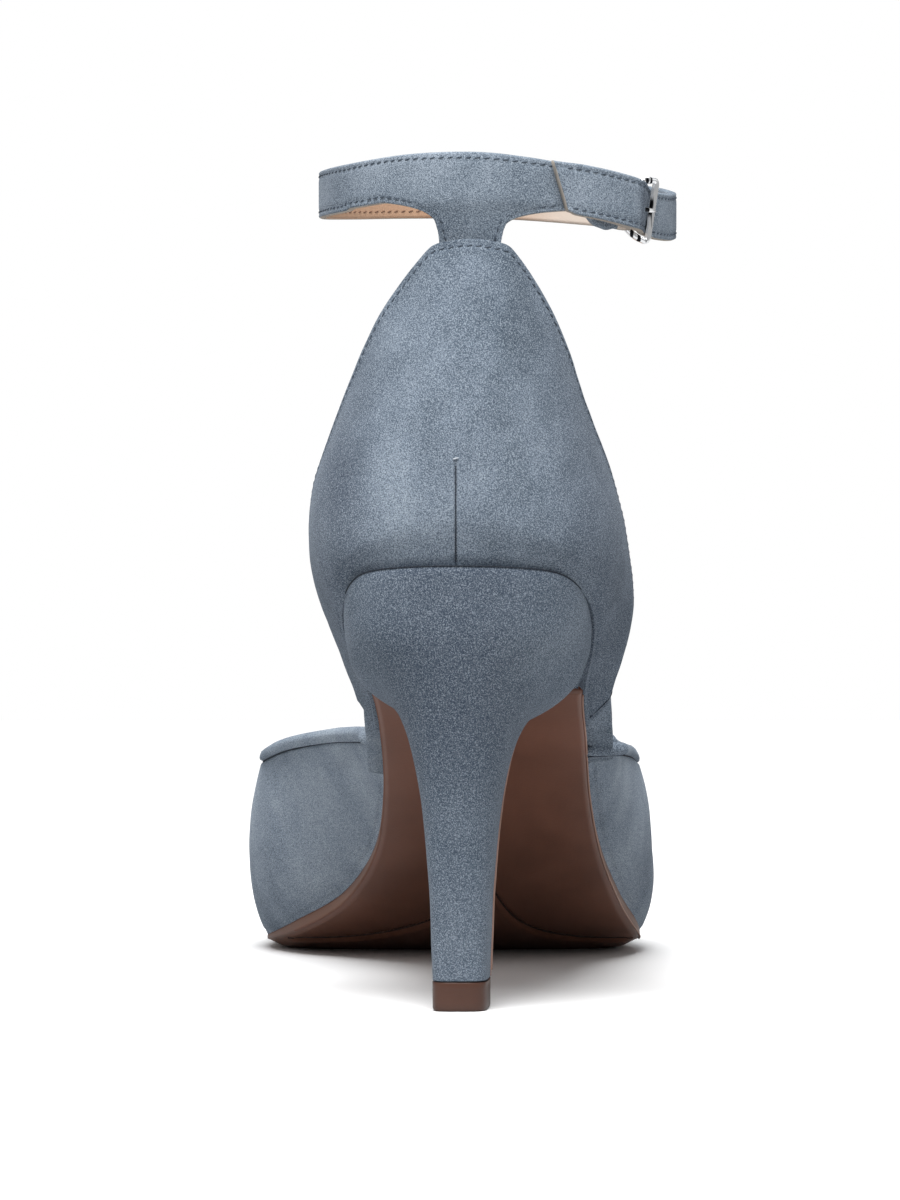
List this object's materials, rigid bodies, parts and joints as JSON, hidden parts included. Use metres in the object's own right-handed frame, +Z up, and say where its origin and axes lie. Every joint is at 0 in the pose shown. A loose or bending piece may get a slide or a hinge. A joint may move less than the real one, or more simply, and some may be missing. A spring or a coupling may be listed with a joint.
{
  "type": "closed-toe ankle-strap court shoe",
  "caption": "Right suede court shoe with open sides, a pointed closed toe, a slim covered heel and a thin buckled ankle strap on a tab behind the heel cup.",
  "frame": {"origin": "on the floor, under the centre of the heel's top lift", "axes": "+Y from the heel towards the toe, +Z up, +X towards the outer side of the right foot"},
  "size_m": [0.0868, 0.2385, 0.1642],
  "materials": {
    "suede": "blue-grey napped suede",
    "sole": "smooth satin brown",
    "lining": "smooth tan",
    "metal": "polished"
  },
  "bodies": {
    "root": {"outsole": "sole", "heel": "suede", "top_lift": "sole", "footbed": "suede", "sock_lining": "lining", "quarter": "suede", "vamp": "suede", "ankle_strap": "suede", "buckle_frame": "metal", "buckle_prong": "metal"}
  },
  "joints": []
}
